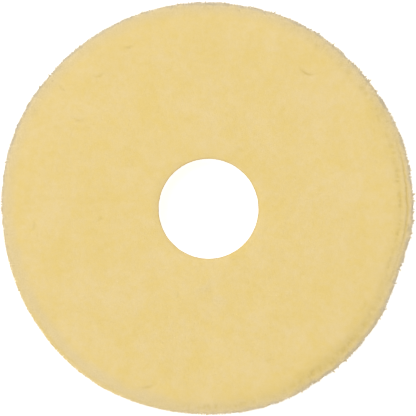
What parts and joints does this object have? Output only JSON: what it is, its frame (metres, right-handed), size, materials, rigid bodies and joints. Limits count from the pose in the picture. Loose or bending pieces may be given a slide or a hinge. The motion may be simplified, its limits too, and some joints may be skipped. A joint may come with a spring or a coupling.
{
  "type": "polishing pad",
  "caption": "Round hook-and-loop polishing pad with a short cream pile face, a foam interface and a round centre hole cut through all its layers.",
  "frame": {"origin": "centre of the loop backing's lower face, on the axis of the centre hole", "axes": "+Z along the hole's axis, from the loop backing towards the pile face; X and Y lie in the backing's plane and are equivalent"},
  "size_m": [0.16, 0.16, 0.017],
  "materials": {
    "loop_fabric": "off-white brushed nylon loops on a knitted cloth",
    "adhesive_film": "thin amber melted film",
    "foam": "soft open-cell foam, yellow",
    "lock_coat": "thin tan rubbery coat",
    "knit_fabric": "cream knitted cloth",
    "pile": "short dense sheared pile, cream-yellow, matte"
  },
  "bodies": {
    "root": {"loop_nap": "loop_fabric", "loop_cloth": "loop_fabric", "lower_adhesive": "adhesive_film", "foam_interface": "foam", "upper_adhesive": "adhesive_film", "lock_coat": "lock_coat", "knit_ground": "knit_fabric", "pile_face": "pile"}
  },
  "joints": []
}
